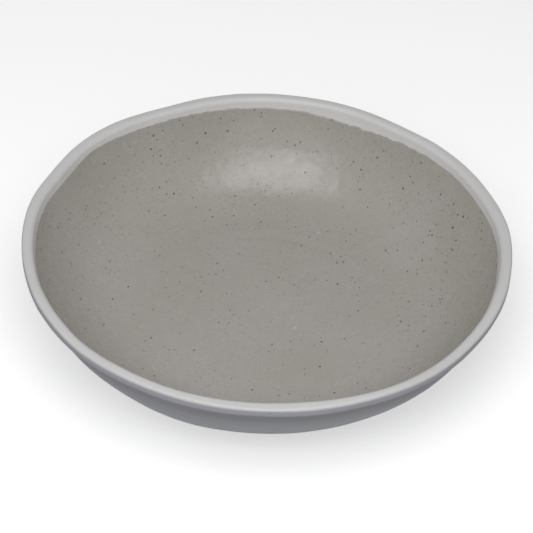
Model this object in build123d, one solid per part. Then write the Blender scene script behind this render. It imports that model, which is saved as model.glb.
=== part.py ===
from build123d import *

# A wide, shallow, wheel-thrown stoneware serving bowl. One turned clay body stands on a foot ring.
# A white glaze coats its outside and rim, and a speckled glaze coats its inside.
# Every section below is drawn as (radius, height) and turned about the Z axis.
# Millimetres, +Z up, resting plane z = 0, centred on the Z axis.
import os

# Overall size
RIM_RADIUS = 165.0
HEIGHT = 75.0

# The bead that finishes the rim, flat on top, as (radius, height) from the inside round
BEAD_INNER = (RIM_RADIUS - 8.1, HEIGHT - 3.4)
BEAD_TOP_START = (RIM_RADIUS - 4.4, HEIGHT)
BEAD_TOP_END = (RIM_RADIUS - 1.7, HEIGHT)
BEAD_SIDE_START = (RIM_RADIUS, HEIGHT - 1.7)
BEAD_SIDE_END = (RIM_RADIUS, HEIGHT - 4.8)
BEAD_UNDER = (RIM_RADIUS - 0.9, HEIGHT - 7.4)  # where the bead ends, above the ledge

# The floor
FLOOR_FLAT_RADIUS = 86.0
FLOOR_TOP = 11.0
UNDERSIDE_FLAT_RADIUS = 88.5
UNDERSIDE = 4.0

# Points that the wall's arcs run through, as (radius, height), from the floor up
INSIDE_LOW = (135.2, 33.2)
INSIDE_HIGH = (154.9, 64.9)
OUTSIDE_LOW = (124.3, 15.4)
OUTSIDE_HIGH = (155.2, 52.7)
LEDGE = (162.4, 66.8)
HALF_WALL = 3.0

# The foot ring
FOOT_OUTER_RADIUS = 80.0
FOOT_INNER_RADIUS = 72.0
FOOT_EDGE = 1.2
FOOT_CORNER = 2.0

# The two glaze coats
GLAZE = 0.7
GLAZE_LINE_HEIGHT = HEIGHT - 7.0  # where the coats meet, on the inside just below the rim
GLAZE_END_RADIUS = 86.0  # the white coat stops here, so the foot ring is bare clay

PAST_AXIS = -5.0  # sections run this far past the axis, so that offsets leave no step there


def rising_arcs(start, *points):
    """Arcs through the points, each running smoothly on from the last, the first from level."""
    arcs = [TangentArc(start, points[0], tangent=(1, 0))]
    for point in points[1:]:
        arcs.append(TangentArc(arcs[-1] @ 1, point, tangent=arcs[-1] % 1))
    return arcs


def inside_arcs():
    """The inside, from the level floor up to the bead's inner side."""
    return rising_arcs((FLOOR_FLAT_RADIUS, FLOOR_TOP), INSIDE_LOW, INSIDE_HIGH, BEAD_INNER)


def outside_arcs():
    """The outside, from the level underside up to the ledge below the bead."""
    return rising_arcs((UNDERSIDE_FLAT_RADIUS, UNDERSIDE), OUTSIDE_LOW, OUTSIDE_HIGH, LEDGE)


def bead_edges(direction):
    """The bead, from its inner side, which runs in direction, over the top and round under."""
    rise = TangentArc(BEAD_INNER, BEAD_TOP_START, tangent=direction)
    top = Line(BEAD_TOP_START, BEAD_TOP_END)
    fall = TangentArc(BEAD_TOP_END, BEAD_SIDE_START, tangent=(1, 0))
    side = Line(BEAD_SIDE_START, BEAD_SIDE_END)
    curl = TangentArc(BEAD_SIDE_END, BEAD_UNDER, tangent=(0, -1))
    return [rise, top, fall, side, curl]


def bowl_section():
    """The glazed bowl without its foot ring."""
    inside = inside_arcs()
    bead = bead_edges(inside[-1] % 1)
    outside = outside_arcs()
    floor = Line((PAST_AXIS, FLOOR_TOP), inside[0] @ 0)
    underside = Line((PAST_AXIS, UNDERSIDE), outside[0] @ 0)
    past_axis = Line((PAST_AXIS, UNDERSIDE), (PAST_AXIS, FLOOR_TOP))
    ledge = Line(outside[-1] @ 1, bead[-1] @ 1)
    return make_face([past_axis, floor, *inside, *bead, ledge, *outside, underside])


def hollow_section():
    """The space that the bowl holds, up to the bead's inner side."""
    inside = inside_arcs()
    corner = (PAST_AXIS, BEAD_INNER[1])
    return make_face(
        [
            *inside,
            Line((PAST_AXIS, FLOOR_TOP), inside[0] @ 0),
            Line((PAST_AXIS, FLOOR_TOP), corner),
            Line(corner, inside[-1] @ 1),
        ]
    )


def foot_section():
    """The foot ring, rounded where it rests and let a little way into the clay above it."""
    width = FOOT_OUTER_RADIUS - FOOT_INNER_RADIUS
    depth = UNDERSIDE + GLAZE + 1.0
    ring = Pos(FOOT_INNER_RADIUS + width / 2, depth / 2) * Rectangle(width, depth)
    return fillet(ring.vertices().group_by(Axis.Y)[0], FOOT_EDGE)


def band(inner, outer, bottom, top):
    """A rectangle between two radii and two heights."""
    middle = Pos((inner + outer) / 2, (bottom + top) / 2)
    return middle * Rectangle(outer - inner, top - bottom)


def clay_section():
    """The clay under both coats, with its foot ring."""
    core = offset(bowl_section(), -GLAZE) & band(0, RIM_RADIUS, 0, HEIGHT)
    body = core + foot_section()
    underside = UNDERSIDE + GLAZE
    corners = [
        v
        for v in body.vertices()
        if abs(v.Y - underside) < 0.01 and abs(v.X) > 1 and v.X < FOOT_OUTER_RADIUS + 1
    ]
    return fillet(corners, FOOT_CORNER)


def coats_section():
    """Both coats: the bowl's skin, except on the underside within the bare ring."""
    skin = bowl_section() - offset(bowl_section(), -GLAZE)
    middle_of_floor = (FLOOR_TOP + UNDERSIDE) / 2
    upper = band(0, RIM_RADIUS + 1, middle_of_floor, HEIGHT + 1)
    lower = band(GLAZE_END_RADIUS, RIM_RADIUS + 1, 0, middle_of_floor)
    return skin & (upper + lower)


def inside_region():
    """The hollow grown to the middle of the wall, below the line where the coats meet."""
    grown = offset(hollow_section(), HALF_WALL)
    return grown & band(0, RIM_RADIUS, 0, GLAZE_LINE_HEIGHT)


def turned(section):
    """The solid that a half section sweeps about the Z axis."""
    return revolve(Plane.XZ * section, Axis.Z)


def main():
    os.makedirs("parts", exist_ok=True)
    coats = coats_section()
    inside = inside_region()
    export_step(turned(clay_section()), "parts/stoneware_body.step")
    export_step(turned(coats - inside), "parts/white_glaze.step")
    export_step(turned(coats & inside), "parts/speckled_glaze.step")


main()
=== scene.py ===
import math

import bpy
import numpy as np
from mathutils import Matrix, Vector


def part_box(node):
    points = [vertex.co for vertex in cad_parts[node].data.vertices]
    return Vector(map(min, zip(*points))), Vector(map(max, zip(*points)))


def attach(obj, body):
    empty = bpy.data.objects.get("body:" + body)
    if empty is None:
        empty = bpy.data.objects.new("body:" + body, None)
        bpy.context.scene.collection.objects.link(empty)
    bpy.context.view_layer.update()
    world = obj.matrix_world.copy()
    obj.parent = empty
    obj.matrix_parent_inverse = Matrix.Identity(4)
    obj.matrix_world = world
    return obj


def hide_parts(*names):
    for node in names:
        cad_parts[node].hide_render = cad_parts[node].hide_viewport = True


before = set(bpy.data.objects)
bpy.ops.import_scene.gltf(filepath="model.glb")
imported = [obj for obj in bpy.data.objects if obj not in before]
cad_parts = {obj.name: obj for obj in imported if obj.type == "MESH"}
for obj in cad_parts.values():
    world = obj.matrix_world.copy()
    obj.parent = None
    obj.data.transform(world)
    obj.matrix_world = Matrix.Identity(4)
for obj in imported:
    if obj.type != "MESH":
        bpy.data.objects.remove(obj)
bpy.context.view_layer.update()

# A hand-thrown stoneware bowl: clay body, white glaze outside and over the rim, speckled glaze
# inside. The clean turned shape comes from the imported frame. The meshes here repeat it and add what
# a hand and a kiln leave: a rim that wavers, throwing rings, rippled glaze, and a glaze line that
# wanders.

MM = 0.001

# Sizes read from the frame
white_low, white_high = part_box("white_glaze")
_, clay_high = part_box("stoneware_body")
inside_low, inside_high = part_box("speckled_glaze")
RIM_RADIUS = (white_high.x - white_low.x) / 2
HEIGHT = white_high.z
GLAZE = white_high.z - clay_high.z
FLOOR_TOP = inside_low.z + GLAZE
UNDERSIDE = white_low.z
GLAZE_LINE_DEPTH = HEIGHT - inside_high.z

# The rest of the frame's section, repeated from the part's own arcs: points as (radius, height),
# and the radii where its flats and its foot ring end
BEAD_INNER = (RIM_RADIUS - 8.1 * MM, HEIGHT - 3.4 * MM)
BEAD_TOP_START = (RIM_RADIUS - 4.4 * MM, HEIGHT)
BEAD_TOP_END = (RIM_RADIUS - 1.7 * MM, HEIGHT)
BEAD_SIDE_START = (RIM_RADIUS, HEIGHT - 1.7 * MM)
BEAD_SIDE_END = (RIM_RADIUS, HEIGHT - 4.8 * MM)
BEAD_UNDER = (RIM_RADIUS - 0.9 * MM, HEIGHT - 7.4 * MM)
LEDGE = (RIM_RADIUS - 2.6 * MM, HEIGHT - 8.2 * MM)
FLOOR_FLAT_RADIUS = 86.0 * MM
UNDERSIDE_FLAT_RADIUS = 88.5 * MM
INSIDE_LOW = (135.2 * MM, FLOOR_TOP + 22.2 * MM)
INSIDE_HIGH = (RIM_RADIUS - 10.1 * MM, HEIGHT - 10.1 * MM)
OUTSIDE_LOW = (124.3 * MM, UNDERSIDE + 11.4 * MM)
OUTSIDE_HIGH = (RIM_RADIUS - 9.8 * MM, HEIGHT - 22.3 * MM)
GLAZE_END_RADIUS = 86.0 * MM
FOOT_OUTER_RADIUS = 80.0 * MM
FOOT_INNER_RADIUS = 72.0 * MM
FOOT_EDGE = 1.2 * MM  # radius of the ring's edges where it rests
FOOT_CORNER = 2.0 * MM  # radius of the hollow corners where the ring meets the underside

COLUMNS = 960  # how many times each section is repeated round the bowl


# ---- Noise over arrays of points ----


def value_noise(points, size, seed):
    """Smooth random values from -1 to 1 at points, an (..., 3) array, changing over about size."""
    side = 64
    shift = 1000.0  # keeps every cell's number above zero
    table = np.random.default_rng(seed).random((side, side, side)) * 2 - 1
    scaled = np.asarray(points) / size + shift
    cell = np.floor(scaled).astype(int)
    part = scaled - cell
    part = part * part * (3 - 2 * part)
    total = np.zeros(scaled.shape[:-1])
    for corner in np.ndindex(2, 2, 2):
        weight = np.ones(scaled.shape[:-1])
        index = []
        for axis, step in enumerate(corner):
            weight = weight * (part[..., axis] if step else 1 - part[..., axis])
            index.append((cell[..., axis] + step) % side)
        total += weight * table[tuple(index)]
    return total


def ring_noise(angle, position, around, across, seed):
    """Noise on a turned surface that runs in bands: slow round the bowl, quick across it."""
    points = np.stack(
        [np.cos(angle) / around, np.sin(angle) / around, position / across], axis=-1
    )
    return value_noise(points, 1.0, seed)


def bump(angle, centre, width):
    """1 at centre, falling to 0 over about width, both in degrees, round the bowl."""
    away = (np.degrees(angle) - centre + 180) % 360 - 180
    return np.exp(-((away / width) ** 2))


def ease(value, low, high):
    """0 below low, 1 above high, smooth between."""
    part = np.clip((value - low) / (high - low), 0, 1)
    return part * part * (3 - 2 * part)


# ---- The section ----


def tangent_arc(start, heading, end, count=40):
    """Points on the arc that leaves start along heading and reaches end, and its heading there."""
    start, heading, end = (np.array(v, float) for v in (start, heading, end))
    heading /= np.hypot(*heading)
    left = np.array([-heading[1], heading[0]])
    across = end - start
    radius = across @ across / (2 * (across @ left))
    centre = start + left * radius
    turn = 2 * math.atan2(across @ left, across @ heading)
    steps = np.linspace(0, turn, count)[:, None]
    points = centre + np.cos(steps) * (start - centre) + np.sin(steps) * radius * heading
    return points, math.cos(turn) * heading + math.sin(turn) * left


def arc_chain(start, heading, ends):
    """Arcs from start through each of ends, each running smoothly on from the last."""
    points = [np.array([start])]
    for end in ends:
        arc, heading = tangent_arc(points[-1][-1], heading, end)
        points.append(arc[1:])
    return np.concatenate(points), heading


def glazed_section():
    """The glazed outline, from the middle of the floor, up, over the bead and down to the foot."""
    level = (1, 0)
    inside, rising = arc_chain(
        (FLOOR_FLAT_RADIUS, FLOOR_TOP), level, [INSIDE_LOW, INSIDE_HIGH, BEAD_INNER]
    )
    over, _ = arc_chain(BEAD_INNER, rising, [BEAD_TOP_START])
    down, _ = arc_chain(BEAD_TOP_END, level, [BEAD_SIDE_START])
    curl, _ = arc_chain(BEAD_SIDE_END, (0, -1), [BEAD_UNDER])
    outside, _ = arc_chain(
        (UNDERSIDE_FLAT_RADIUS, UNDERSIDE), level, [OUTSIDE_LOW, OUTSIDE_HIGH, LEDGE]
    )
    middle = [(0, FLOOR_TOP)]
    end = [(GLAZE_END_RADIUS, UNDERSIDE)]
    return np.concatenate([middle, inside, over[1:], down, curl, outside[::-1], end])


class Section:
    """A section's points and outward normals by distance along it, its corners a little rounded."""

    STEP = 0.2 * MM

    def __init__(self, outline, rounding):
        length = np.concatenate([[0], np.cumsum(np.hypot(*np.diff(outline, axis=0).T))])
        self.end = length[-1]
        self.along = np.arange(0, self.end, self.STEP)
        raw = np.stack(
            [np.interp(self.along, length, outline[:, axis]) for axis in (0, 1)], axis=1
        )
        # A bell-shaped running mean rounds the corners
        reach = int(3 * rounding / self.STEP)
        weights = np.exp(-0.5 * (np.arange(-reach, reach + 1) * self.STEP / rounding) ** 2)
        weights /= weights.sum()
        padded = np.pad(raw, ((reach, reach), (0, 0)), mode="reflect", reflect_type="odd")
        self.points = np.stack(
            [np.convolve(padded[:, axis], weights, "valid") for axis in (0, 1)], axis=1
        )
        heading = np.gradient(self.points, axis=0)
        heading /= np.hypot(*heading.T)[:, None]
        self.normals = np.stack([-heading[:, 1], heading[:, 0]], axis=1)

    def at(self, distance, lift):
        """(radius, height) at a distance along the section, lifted off it along the normal."""

        def pick(values, axis):
            return np.interp(distance, self.along, values[:, axis])

        return tuple(pick(self.points, axis) + lift * pick(self.normals, axis) for axis in (0, 1))

    def distance_to(self, radius, height):
        """The distance along the section of the point nearest to (radius, height)."""
        return self.along[np.argmin(np.hypot(*(self.points - (radius, height)).T))]


section = Section(glazed_section(), rounding=0.45 * MM)

# Distances along the section, from the middle of the floor
AT_FLOOR_RING = 77.5 * MM  # the shallow ring round the flat of the floor
AT_LINE = section.distance_to(BEAD_INNER[0], HEIGHT - GLAZE_LINE_DEPTH)
AT_TOP = section.distance_to(*BEAD_TOP_START)
AT_LEDGE = section.distance_to(*LEDGE)
AT_END = section.end - Section.STEP  # just short of the bare underside


# ---- What the hand and the kiln leave ----


def waver(angle):
    """How far the rim stands out from a true circle round the bowl."""
    # Each lump's centre and width, in degrees, and how far out it stands, in millimetres
    lumps = [(8, 11, 1.4), (56, 10, -1.9), (90, 60, -1.2), (104, 6, -0.4), (118, 12, -2.9)]
    lumps += [(158, 9, -2.1), (188, 16, -1.0), (226, 9, 0.9), (312, 12, 1.4), (338, 12, 0.4)]
    return sum(size * MM * bump(angle, centre, width) for centre, width, size in lumps)


def line_shift(angle):
    """How much lower than the frame's level line the two glazes meet, round the bowl."""

    def wave(around, seed):
        return ring_noise(angle, 0 * angle, around, 1.0, seed)

    # In millimetres: slow and quick noise, how much of the quick one shows, and the low places
    wander = 0.6 * wave(0.22, 11) + 0.35 * wave(0.07, 12)
    jagged = 0.5 * wave(0.022, 13) + 0.5 * wave(0.011, 14)
    rough = 0.25 + bump(angle, 60, 13) + 0.5 * bump(angle, 112, 14) + 0.3 * bump(angle, 350, 20)
    low = 0.7 + 2.4 * bump(angle, 68, 11) - 1.1 * bump(angle, 121, 8) - 1.2 * bump(angle, 142, 8)
    return (low + wander + jagged * rough) * MM


def bead_swell(angle):
    """How much further in the bead's inner side stands round the bowl."""
    return (0.9 * bump(angle, 273, 11) - 1.3 * bump(angle, 301, 10)) * MM


def shared_lift(points):
    """Unevenness of the fired surface that both glazes share."""
    lift = 0.22 * MM * value_noise(points, 42 * MM, 21)
    lift += 0.12 * MM * value_noise(points, 13 * MM, 22)
    return lift


def inside_lift(angle, distance, points):
    """The inside's throwing rings, rippled glaze and the shallow ring round the flat of the floor."""
    lift = shared_lift(points)
    lift += 0.08 * MM * value_noise(points, 5 * MM, 23)
    lift += 0.03 * MM * value_noise(points, 2.4 * MM, 24)
    lift += 0.05 * MM * ring_noise(angle, distance, 0.9, 7 * MM, 25)
    # The ring is a groove with a low swell outside it, deepest at the back right
    strength = 0.35 + 0.65 * bump(angle, 55, 60)
    past_ring = distance - AT_FLOOR_RING
    groove = np.exp(-((past_ring / (3.6 * MM)) ** 2))
    swell = np.exp(-(((past_ring - 9 * MM) / (6 * MM)) ** 2))
    return lift + strength * MM * (0.18 * swell - 0.42 * groove)


def outside_lift(angle, distance, points):
    """The white coat's lumps on the rim, and its throwing rings and two bulges down the outside."""
    lift = shared_lift(points)
    on_rim = ease(distance, AT_LINE, AT_LINE + 4 * MM)
    on_wall = ease(distance, AT_LEDGE, AT_LEDGE + 3 * MM)
    lift += 0.05 * MM * on_rim * value_noise(points, 6 * MM, 31)
    lift += 0.10 * MM * on_wall * ring_noise(angle, distance, 0.35, 4 * MM, 32)
    lift += 0.05 * MM * on_wall * ring_noise(angle, distance, 0.12, 1.8 * MM, 33)
    bulges = 0.8 * bump(angle, 248, 14) + 0.8 * bump(angle, 318, 12)
    return lift + on_wall * MM * bulges


def hand_made(points):
    """Turned points moved to where a hand left them, by the waver, which fades from the rim to the
    foot, and by the bead's uneven inner side."""
    angle = np.arctan2(points[..., 1], points[..., 0])
    radius = np.hypot(points[..., 0], points[..., 1])
    height = points[..., 2]
    share = ease(height, UNDERSIDE + 5 * MM, HEIGHT) * ease(radius, 0.5 * RIM_RADIUS, RIM_RADIUS)
    inner_side = ease(height, HEIGHT - 14 * MM, HEIGHT - 3 * MM)
    inner_side = inner_side * (1 - ease(radius, RIM_RADIUS - 5 * MM, RIM_RADIUS - 1.5 * MM))
    stretch = 1 + (share * waver(angle) - inner_side * bead_swell(angle)) / RIM_RADIUS
    return points * np.stack([stretch, stretch, np.ones_like(stretch)], axis=-1)


# ---- Meshes ----


def turn(radius, height, angle):
    """Points from their radius, height and angle round the axis."""
    return np.stack([radius * np.cos(angle), radius * np.sin(angle), height + 0 * angle], axis=-1)


def turned_mesh(name, grid, closed):
    """A mesh from a (column, row, 3) grid round the axis. A closed one's last row meets its first;
    the others' first and last rows are single points on the axis."""
    columns, rows = grid.shape[:2]
    if closed:
        points = grid.reshape(-1, 3)
        points_on_axis = 0
        row_pairs = [(row, (row + 1) % rows) for row in range(rows)]
    else:
        ends = np.stack([grid[:, 0].mean(axis=0), grid[:, -1].mean(axis=0)])
        points = np.concatenate([ends, grid[:, 1:-1].reshape(-1, 3)])
        points_on_axis = 2
        rows -= 2
        row_pairs = [(row, row + 1) for row in range(rows - 1)]
    here = np.arange(columns) * rows + points_on_axis
    beyond = np.roll(here, -1)
    quads = np.concatenate(
        [
            np.stack([here + row, here + following, beyond + following, beyond + row], axis=1)
            for row, following in row_pairs
        ]
    )
    faces = quads.tolist()
    if not closed:
        last = rows - 1
        faces += np.stack([0 * here, here, beyond], axis=1).tolist()
        faces += np.stack([0 * here + 1, beyond + last, here + last], axis=1).tolist()
    mesh = bpy.data.meshes.new(name)
    mesh.from_pydata(points.tolist(), [], faces)
    mesh.polygons.foreach_set("use_smooth", [True] * len(mesh.polygons))
    mesh.update()
    piece = bpy.data.objects.new(name, mesh)
    bpy.context.scene.collection.objects.link(piece)
    return piece


def column_angles(columns=COLUMNS):
    """The angle of each column round the axis, as a (column, 1) array."""
    return np.linspace(0, 2 * math.pi, columns, endpoint=False)[:, None]


def coat_grid(distance, lift_of, rows_below):
    """The grid of a coat: its outer skin along distance, then back along the clay below it."""
    angle = column_angles()
    surface = turn(*section.at(distance, 0 * distance), angle + 0 * distance)
    outer = section.at(distance, lift_of(angle + 0 * distance, distance, surface))
    back = distance[:, rows_below]
    inner = section.at(back, -GLAZE + 0 * back)
    radius = np.concatenate([outer[0], inner[0]], axis=1)
    height = np.concatenate([outer[1], inner[1]], axis=1)
    return hand_made(turn(radius, height, angle + 0 * radius))


def spaced(start, end, step):
    """Even steps from start to end, each about as long as step."""
    return np.linspace(start, end, max(2, int(round((end - start) / step)) + 1))


def thinned(count, every):
    """Every few of count rows, from the last back to the first, with both ends kept."""
    return np.union1d(np.arange(count - 1, -1, -every), [0])[::-1]


def speckled_coat():
    """The inside coat, from the middle of the floor to the wandering glaze line."""
    # Rows by their share of the way out, closer together on the wall than on the floor
    floor_share = 0.45
    on_floor = spaced(0, floor_share, 0.012)[:-1]
    share = np.concatenate([on_floor, spaced(floor_share, 1, 0.0052)])
    distance = share[None, :] * (AT_LINE - line_shift(column_angles()))
    grid = coat_grid(distance, inside_lift, thinned(len(share), 6))
    return turned_mesh("speckled_coat", grid, closed=False)


def white_coat():
    """The outer coat, from the glaze line over the bead and down the outside to the bare foot."""
    # Rows closer together over the rim than down the wall
    below_ledge = AT_LEDGE + 3 * MM
    rim = spaced(AT_LINE, below_ledge, 0.4 * MM)
    wall = spaced(below_ledge, AT_END, 1.0 * MM)[1:]
    base = np.concatenate([rim, wall])[None, :]
    nearness = 1 - ease(base, AT_LINE, AT_TOP)
    distance = base - nearness * line_shift(column_angles())
    grid = coat_grid(distance, outside_lift, thinned(base.size, 5))
    return turned_mesh("white_coat", grid, closed=True)


def clay_outline():
    """The clay under both coats, then the bare foot ring and underside."""
    skin_radius, skin_height = section.at(spaced(0, AT_END, 1.2 * MM), -GLAZE)
    bare = UNDERSIDE + GLAZE
    # One side of the foot ring, as (distance into the ring, height), from the underside down. Each
    # of its two round corners has one point in the middle.
    corner_middle = 0.6 * MM
    edge_middle = 0.35 * MM
    side = [
        (-FOOT_CORNER, bare),
        (-corner_middle, bare - corner_middle),
        (0, bare - FOOT_CORNER),
        (0, FOOT_EDGE),
        (edge_middle, edge_middle),
        (FOOT_EDGE, 0),
    ]
    foot = [(FOOT_OUTER_RADIUS - inward, height) for inward, height in side]
    foot += [(FOOT_INNER_RADIUS + inward, height) for inward, height in reversed(side)]
    middle = [(radius, bare) for radius in spaced(0, FOOT_INNER_RADIUS - 4 * MM, 2 * MM)[::-1]]
    return np.concatenate([np.stack([skin_radius, skin_height], axis=1), foot, middle])


def clay_body():
    """The clay, turned and left by the same hand as the coats on it."""
    radius, height = clay_outline().T[:, None, :]
    grid = turn(radius, height, column_angles() + 0 * radius)
    return turned_mesh("clay_body", hand_made(grid), closed=False)


# ---- Materials ----


class Nodes:
    """A new node material, with short calls to add and join its nodes."""

    def __init__(self, name):
        self.material = bpy.data.materials.new(name)
        self.material.use_nodes = True
        self.tree = self.material.node_tree
        self.shader = self.tree.nodes["Principled BSDF"]
        self.place = self.add("ShaderNodeTexCoord").outputs["Object"]

    def add(self, kind, settings=None, **inputs):
        """A new node with its settings, and with its inputs fed."""
        node = self.tree.nodes.new(kind)
        for key, value in (settings or {}).items():
            setattr(node, key, value)
        self.feed_named(node, inputs)
        return node

    def feed_named(self, node, inputs):
        """Feeds a node's inputs by their names, with _ for each space."""
        for key, value in inputs.items():
            self.feed(node.inputs[key.replace("_", " ")], value)

    def feed(self, socket, value):
        """Joins another node's output to a socket, or gives it a plain value."""
        if isinstance(value, bpy.types.NodeSocket):
            self.tree.links.new(value, socket)
        else:
            socket.default_value = value

    def worked_out(self, kind, operation, values):
        """The outputs of a node that works something out from values."""
        node = self.add(kind, {"operation": operation})
        for socket, value in zip(node.inputs, values):
            self.feed(socket, value)
        return node.outputs

    def math(self, operation, *values):
        return self.worked_out("ShaderNodeMath", operation, values)["Value"]

    def vector(self, operation, *values):
        return self.worked_out("ShaderNodeVectorMath", operation, values)

    def noise(self, size, detail=3.0, roughness=0.5, place=None, seed=0.0):
        """Noise from 0 to 1 that changes over about size. A seed gives a pattern of its own."""
        settings = {"noise_dimensions": "4D"}
        node = self.add("ShaderNodeTexNoise", settings, Vector=place or self.place, W=seed)
        self.feed_named(node, {"Scale": 1 / size, "Detail": detail, "Roughness": roughness})
        return node.outputs["Fac"]

    def remap(self, value, low, high, to_low=0.0, to_high=1.0, smooth=False):
        """A value carried from the range low to high over to another range, and kept inside it."""
        settings = {"interpolation_type": "SMOOTHSTEP" if smooth else "LINEAR"}
        node = self.add("ShaderNodeMapRange", settings, Value=value, From_Min=low, From_Max=high)
        self.feed_named(node, {"To_Min": to_low, "To_Max": to_high})
        return node.outputs["Result"]

    def mix(self, share, first, second):
        """The first colour at a share of 0, the second at 1."""
        node = self.add("ShaderNodeMix", {"data_type": "RGBA"}, Factor=share)
        # The colour sockets come after those for plain numbers and vectors, which share their names
        first_colour, second_colour = node.inputs[6:8]
        mixed_colour = node.outputs[2]
        self.feed(first_colour, first)
        self.feed(second_colour, second)
        return mixed_colour

    def away_from_axis(self):
        """The level direction from the axis, as long as the distance from it."""
        return self.vector("MULTIPLY", self.place, (1, 1, 0))["Vector"]

    def distance_from_axis(self):
        return self.vector("LENGTH", self.away_from_axis())["Value"]

    def faces_outward(self):
        """1 where the surface faces away from the bowl's axis, 0 where it faces the axis."""
        normal = self.add("ShaderNodeTexCoord").outputs["Normal"]
        agreement = self.vector("DOT_PRODUCT", normal, self.away_from_axis())["Value"]
        return self.math("GREATER_THAN", agreement, 0)

    def height(self):
        return self.add("ShaderNodeSeparateXYZ", Vector=self.place).outputs["Z"]

    def stretched(self, scale):
        """Object coordinates scaled along each axis, for streaks."""
        return self.add("ShaderNodeMapping", Vector=self.place, Scale=scale).outputs[0]

    def specks(self, spacing, radius, share, stretch=(1, 1, 1), seed=0.0):
        """Where small specks lie, 0 to 1, and a random value of each speck's own. The specks reach
        up to radius, and a share of the places that stand about spacing apart have one."""
        shift = (seed, seed, seed)
        place = self.add("ShaderNodeMapping", Vector=self.place, Scale=stretch, Location=shift)
        cells = self.add("ShaderNodeTexVoronoi", Vector=place.outputs[0], Scale=1 / spacing)
        parts = self.add("ShaderNodeSeparateColor", Color=cells.outputs["Color"])
        chance, own = parts.outputs[0], parts.outputs[1]
        smallest, soft_edge = 0.45, 0.6
        reach = self.remap(own, 0, 1, smallest * radius / spacing, radius / spacing)
        depth = self.math("DIVIDE", cells.outputs["Distance"], reach)
        inside = self.remap(depth, 1.0, soft_edge, smooth=True)
        return self.math("MULTIPLY", inside, self.math("LESS_THAN", chance, share)), own

    def relief(self, pattern, strength, depth):
        """Fine unevenness of the surface, too small for the mesh, from a pattern."""
        node = self.add("ShaderNodeBump", Height=pattern, Strength=strength, Distance=depth)
        self.surface(Normal=node.outputs[0])

    def surface(self, **inputs):
        """Feeds the surface's own inputs, such as its colour and roughness."""
        self.feed_named(self.shader, inputs)


def rgb(red, green, blue):
    """A colour in the renderer's linear units from sRGB levels, all above the curve's dark foot."""
    return (*[((level / 255 + 0.055) / 1.055) ** 2.4 for level in (red, green, blue)], 1.0)


def speckled_glaze():
    """Warm grey satin glaze with dark green-black specks melted into it, denser towards the rim."""
    n = Nodes("speckled_glaze")
    cloud = n.noise(60 * MM, detail=4, seed=1)
    mottle = n.noise(7 * MM, detail=4, roughness=0.6, seed=2)
    grain = n.noise(1.3 * MM, detail=3, roughness=0.6, seed=3)
    base = n.mix(n.remap(cloud, 0.35, 0.65), rgb(175, 171, 164), rgb(180, 176, 170))
    base = n.mix(n.remap(mottle, 0.4, 0.75, 0, 0.25), base, rgb(163, 158, 150))
    base = n.mix(n.remap(grain, 0.35, 0.75, 0, 0.5), base, rgb(155, 151, 144))
    # A few pale spots: painted glints, small highlights painted into the colour
    pale, own = n.specks(13 * MM, 1.5 * MM, 0.4, seed=9.3)
    painted_glint_share = n.math("MULTIPLY", pale, n.remap(own, 0, 1, 0.1, 0.4))
    base = n.mix(painted_glint_share, base, rgb(216, 213, 206))
    # Dark specks of three sizes, in clusters and denser towards the rim, and a few long flecks
    outward = n.remap(n.distance_from_axis(), 80 * MM, 155 * MM, 0.75, 1.45)
    clusters = n.remap(n.noise(22 * MM, seed=6), 0.35, 0.65, 0.5, 1.5)
    crowding = n.math("MULTIPLY", outward, clusters)
    faint, _ = n.specks(2.2 * MM, 0.52 * MM, n.math("MULTIPLY", crowding, 0.75), seed=3.1)
    small, shade = n.specks(3.3 * MM, 0.68 * MM, n.math("MULTIPLY", crowding, 0.35), seed=5.9)
    dark, own = n.specks(5.0 * MM, 0.92 * MM, n.math("MULTIPLY", crowding, 0.37), seed=7.7)
    fleck, _ = n.specks(12 * MM, 0.8 * MM, 0.3, stretch=(1.0, 0.45, 0.45), seed=5.3)
    base = n.mix(n.math("MULTIPLY", faint, 0.5), base, rgb(92, 94, 86))
    base = n.mix(n.math("MULTIPLY", small, n.remap(shade, 0, 1, 0.45, 0.9)), base, rgb(62, 64, 58))
    base = n.mix(n.math("MULTIPLY", fleck, 0.7), base, rgb(66, 58, 48))
    base = n.mix(n.math("MULTIPLY", dark, 0.95), base, n.mix(own, rgb(26, 32, 30), rgb(52, 46, 38)))
    n.surface(Base_Color=base, Roughness=n.remap(mottle, 0.3, 0.7, 0.19, 0.36), IOR=1.58)
    # Orange peel, with a small pit at each dark speck
    peel = n.noise(1.6 * MM, detail=3, seed=4)
    pattern = n.math("SUBTRACT", n.math("MULTIPLY", peel, 0.4), n.math("MULTIPLY", dark, 0.5))
    n.relief(pattern, strength=0.35, depth=0.06 * MM)
    return n.material


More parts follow.
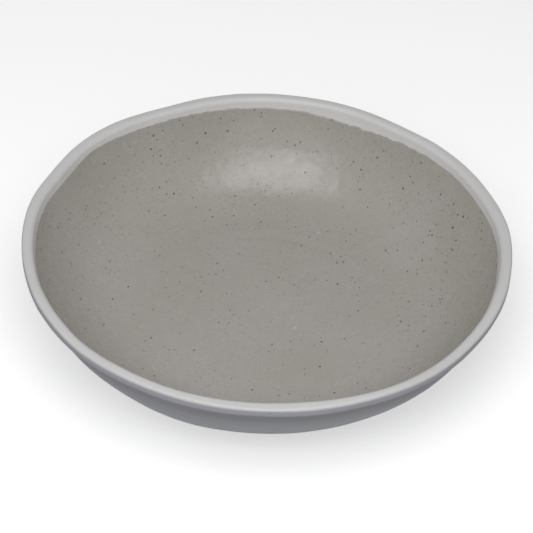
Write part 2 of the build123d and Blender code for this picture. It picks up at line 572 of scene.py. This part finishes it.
def white_glaze():
    """Off-white satin glaze, rarely specked and streaked, with painted shade and light on bead and
    wall.
    """
    n = Nodes("white_glaze")
    height = n.height()
    outside = n.faces_outward()
    cloud = n.noise(45 * MM, detail=4, seed=1)
    fine = n.noise(2.2 * MM, detail=4, roughness=0.6, seed=2)
    base = n.mix(n.remap(cloud, 0.35, 0.65), rgb(209, 208, 207), rgb(214, 213, 212))
    base = n.mix(n.remap(fine, 0.45, 0.8, 0, 0.12), base, rgb(198, 198, 200))
    # Painted light: whiter on the inside of the bead just below its top. Painted shade: greyer and
    # lavender on the bead's outward side
    inside = n.math("SUBTRACT", 1.0, outside)
    painted_light_bead_inside = n.math("MULTIPLY", n.remap(height, HEIGHT, HEIGHT - 2 * MM), inside)
    base = n.mix(painted_light_bead_inside, base, rgb(222, 221, 220))
    painted_shade_bead_side = n.math("MULTIPLY", outside, n.remap(height, HEIGHT - 1.2 * MM, HEIGHT - 2.4 * MM))
    base = n.mix(painted_shade_bead_side, base, rgb(182, 181, 189))
    # Painted shade, grey and streaky, under the bead, fading down to painted light, whiter, low on the
    # wall; then the glaze's own streaks over the whole wall
    below = n.math("MULTIPLY", outside, n.remap(height, HEIGHT - 7 * MM, HEIGHT - 8.5 * MM))
    painted_shade_fade = n.remap(height, HEIGHT - 36 * MM, HEIGHT - 14 * MM, smooth=True)
    streaks = n.noise(1.0, detail=3, place=n.stretched((3, 3, 240)), seed=6)
    streaky_painted_shade = n.math("MULTIPLY", painted_shade_fade, n.remap(streaks, 0.3, 0.7, 0.75, 1.1))
    base = n.mix(below, base, n.mix(streaky_painted_shade, rgb(220, 221, 224), rgb(178, 178, 182)))
    wall = n.math("MULTIPLY", below, n.remap(streaks, 0.4, 0.7, 0, 0.4))
    base = n.mix(wall, base, rgb(180, 181, 187))
    # A few specks
    speck, own = n.specks(9 * MM, 0.6 * MM, 0.2, seed=2.9)
    base = n.mix(n.math("MULTIPLY", speck, n.remap(own, 0, 1, 0.15, 0.8)), base, rgb(92, 90, 84))
    n.surface(Base_Color=base, Roughness=n.remap(fine, 0.3, 0.7, 0.42, 0.52))
    n.relief(fine, strength=0.25, depth=0.08 * MM)
    return n.material


def bare_clay():
    """Unglazed buff stoneware, toasted in patches, with dark and pale grains in it."""
    n = Nodes("bare_clay")
    toast = n.noise(30 * MM, detail=5, seed=1)
    grit = n.noise(1.2 * MM, detail=5, roughness=0.7, seed=2)
    base = n.mix(n.remap(toast, 0.35, 0.7), rgb(178, 152, 122), rgb(158, 128, 98))
    base = n.mix(n.remap(grit, 0.5, 0.75, 0, 0.5), base, rgb(118, 94, 72))
    grain, own = n.specks(3.0 * MM, 0.4 * MM, 0.7, seed=1.7)
    base = n.mix(n.math("MULTIPLY", grain, 0.7), base, n.mix(own, rgb(70, 54, 42), rgb(206, 190, 166)))
    n.surface(Base_Color=base, Roughness=n.remap(grit, 0.3, 0.7, 0.78, 0.95))
    n.relief(grit, strength=0.6, depth=0.25 * MM)
    return n.material


# ---- Stage ----


def studio_floor():
    """A wide pale floor that curves up into a round backdrop. It neither lights the bowl nor shows
    in its glaze."""
    reach, curve, top = 2.5, 1.2, 4.0
    bevel = 0.1
    bends = np.linspace(0, math.pi / 2, 12)
    outline = [(0, 0), (reach - bevel, 0)]
    outline += [(reach + curve * math.sin(bend), curve - curve * math.cos(bend)) for bend in bends]
    outline += [(reach + curve, top), (reach, top + bevel), (0, top + bevel)]
    radius, height = np.array(outline).T[:, None, :]
    grid = turn(radius, height, column_angles(96) + 0 * radius)
    floor = turned_mesh("studio_floor", grid, closed=False)
    n = Nodes("studio_floor")
    base = n.mix(n.noise(0.8, detail=2), rgb(241, 241, 241), rgb(243, 243, 242))
    white = (1, 1, 1, 1)
    n.surface(Base_Color=base, Roughness=0.9, Emission_Color=white, Emission_Strength=0.38)
    floor.data.materials.append(n.material)
    floor.visible_diffuse = False
    floor.visible_glossy = False
    floor.visible_shadow = False


def soft_box(name, place, aim, size, power, shape="RECTANGLE"):
    """An area light at place that faces aim, its size a width and a depth in metres."""
    light = bpy.data.lights.new(name, "AREA")
    light.shape = shape
    light.size, light.size_y = size
    light.energy = power
    lamp = bpy.data.objects.new(name, light)
    lamp.matrix_world = Matrix.Translation(place) @ (
        (Vector(aim) - Vector(place)).to_track_quat("-Z", "Y").to_matrix().to_4x4()
    )
    bpy.context.scene.collection.objects.link(lamp)


def studio_world(strengths):
    """Light from all round, its strengths in equal steps from straight down to straight up."""
    tint = (0.98, 0.985, 1.0)
    world = bpy.data.worlds.new("studio")
    world.use_nodes = True
    tree = world.node_tree
    direction = tree.nodes.new("ShaderNodeTexCoord")
    parts = tree.nodes.new("ShaderNodeSeparateXYZ")
    rise = tree.nodes.new("ShaderNodeMapRange")
    rise.inputs["From Min"].default_value = -1
    ramp = tree.nodes.new("ShaderNodeValToRGB")
    while len(ramp.color_ramp.elements) < len(strengths):
        ramp.color_ramp.elements.new(0.5)
    for step, (stop, strength) in enumerate(zip(ramp.color_ramp.elements, strengths)):
        stop.position = step / (len(strengths) - 1)
        stop.color = (*[part * strength for part in tint], 1)
    tree.links.new(direction.outputs["Generated"], parts.inputs[0])
    tree.links.new(parts.outputs["Z"], rise.inputs["Value"])
    tree.links.new(rise.outputs["Result"], ramp.inputs["Fac"])
    tree.links.new(ramp.outputs["Color"], tree.nodes["Background"].inputs["Color"])
    bpy.context.scene.world = world


def lights():
    """Two softboxes high in front, the left one brighter, a low one, one over the bowl's near side,
    and light from all round."""
    high, front = 1.28, -1.2
    square = (0.75, 0.75)
    for name, x, power in (("left", -0.42, 5.8), ("right", 0.3, 3.9)):
        soft_box(f"front_{name}_softbox", (x, front, high), (x, front, 0), square, power)
    soft_box("low_front_softbox", place=(0, -1.9, 0.75), aim=(0, 0, 0), size=(1.6, 0.6), power=1.5)
    x, y = -0.03, -0.55
    soft_box("near_softbox", (x, y, high), (x, y, 0), (1.1, 0.9), power=6.9, shape="ELLIPSE")
    studio_world([0.15, 0.55, 0.05, 0.47, 0.15])


def camera():
    """A long lens looking down at the bowl, with a slight lean to one side."""
    elevation = math.radians(40.1)
    lean = math.radians(3.07)
    distance = 1.5
    aim_below = math.radians(0.74)
    target = Vector((0, 0, HEIGHT))
    place = target + distance * Vector((0, -math.cos(elevation), math.sin(elevation)))
    data = bpy.data.cameras.new("camera")
    data.sensor_width = 36
    data.lens = 150.7
    view = bpy.data.objects.new("camera", data)
    look = (target - place).to_track_quat("-Z", "Y").to_matrix().to_4x4()
    tilt = Matrix.Rotation(lean, 4, "Z") @ Matrix.Rotation(-aim_below, 4, "X")
    view.matrix_world = Matrix.Translation(place) @ look @ tilt
    bpy.context.scene.collection.objects.link(view)
    bpy.context.scene.camera = view


def place_piece(piece, node, material):
    """Gives a piece its material and its place in the frame: it hangs on the root body and stands in
    for the node, which is hidden.
    """
    piece.data.materials.append(material)
    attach(piece, "root")
    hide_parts(node)


place_piece(clay_body(), "stoneware_body", bare_clay())
place_piece(white_coat(), "white_glaze", white_glaze())
place_piece(speckled_coat(), "speckled_glaze", speckled_glaze())
studio_floor()
lights()
camera()
bpy.context.scene.view_settings.view_transform = "Standard"
